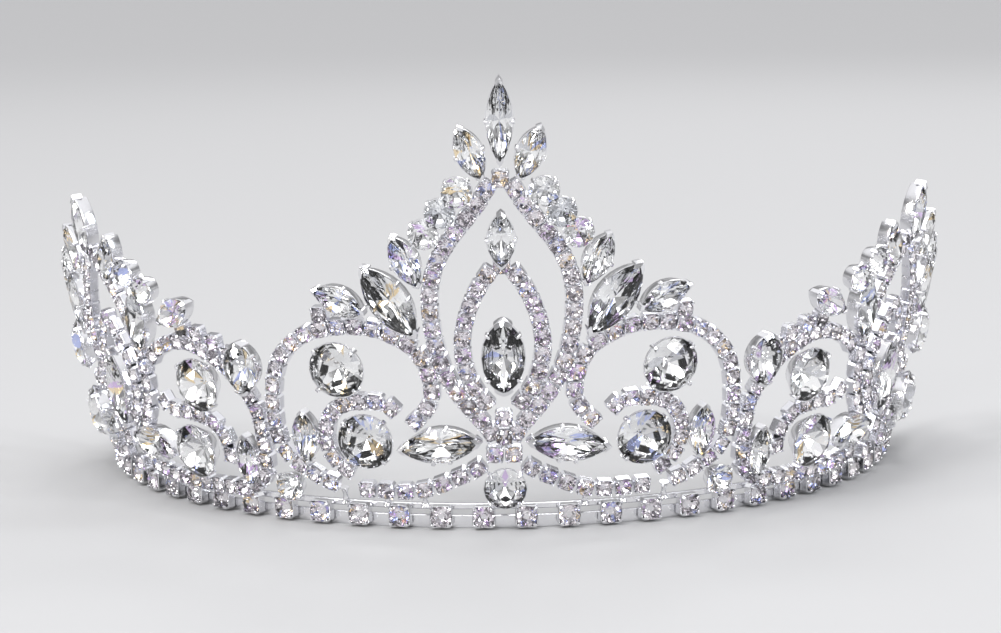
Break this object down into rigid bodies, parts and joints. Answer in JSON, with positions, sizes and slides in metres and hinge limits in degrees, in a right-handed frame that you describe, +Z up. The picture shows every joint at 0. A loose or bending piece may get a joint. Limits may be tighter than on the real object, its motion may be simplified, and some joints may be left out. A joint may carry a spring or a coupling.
{
  "type": "bridal tiara",
  "caption": "Open half-round bridal tiara: ladder-cut band carrying a flared openwork of cup chain, navette and round crystals, with a tall centre arch and two lower side crests.",
  "frame": {"origin": "middle of the underside of the part's bounding box, on the surface that the band stands on", "axes": "+Z up, the front of the tiara faces -Y, +X is to the right of someone looking at the front"},
  "size_m": [0.1644, 0.1014, 0.0765],
  "materials": {
    "rhodium": "bright rhodium plate",
    "cup_chain": "bright rhodium plated cups with small clear stones",
    "set_stone": "clear foil-backed crystal in a claw setting",
    "crystal": "clear foil-backed faceted crystal"
  },
  "bodies": {
    "root": {"base_band": "rhodium", "centre_base_round_setting": "rhodium", "centre_base_round_stone": "crystal", "centre_oval_setting": "rhodium", "centre_oval_stone": "crystal", "centre_small_navette": "set_stone", "centre_spire_navette": "set_stone", "left_upper_round_setting": "rhodium", "left_upper_round_stone": "crystal", "left_lower_round": "set_stone", "left_crest_navette": "set_stone", "left_level_navette": "set_stone", "left_fan_large_navette": "set_stone", "left_fan_upper_navette": "set_stone", "left_fan_outer_navette": "set_stone", "left_junction_oval": "set_stone", "left_junction_round": "set_stone", "left_side_front_upper_round": "set_stone", "left_side_front_lower_round": "set_stone", "left_side_rear_upper_round": "set_stone", "left_side_rear_lower_round": "set_stone", "right_upper_round_setting": "rhodium", "right_upper_round_stone": "crystal", "right_lower_round": "set_stone", "right_crest_navette": "set_stone", "right_level_navette": "set_stone", "right_fan_large_navette": "set_stone", "right_fan_upper_navette": "set_stone", "right_fan_outer_navette": "set_stone", "right_junction_oval": "set_stone", "right_junction_round": "set_stone", "right_side_front_upper_round": "set_stone", "right_side_front_lower_round": "set_stone", "right_side_rear_upper_round": "set_stone", "right_side_rear_lower_round": "set_stone", "left_shoulder_rounds": "set_stone", "left_hairpin_loop": "rhodium", "right_shoulder_rounds": "set_stone", "right_hairpin_loop": "rhodium", "centre_outer_arch": "cup_chain", "centre_inner_loop": "cup_chain", "left_bottom_leg": "cup_chain", "left_wing_arch": "cup_chain", "left_swirl": "cup_chain", "right_bottom_leg": "cup_chain", "right_wing_arch": "cup_chain", "right_swirl": "cup_chain", "left_side_crest": "cup_chain", "left_side_inner_loop": "cup_chain", "left_side_front_arch": "cup_chain", "left_side_front_swirl": "cup_chain", "left_side_rear_arch": "cup_chain", "left_side_rear_swirl": "cup_chain", "right_side_crest": "cup_chain", "right_side_inner_loop": "cup_chain", "right_side_front_arch": "cup_chain", "right_side_front_swirl": "cup_chain", "right_side_rear_arch": "cup_chain", "right_side_rear_swirl": "cup_chain"}
  },
  "joints": []
}
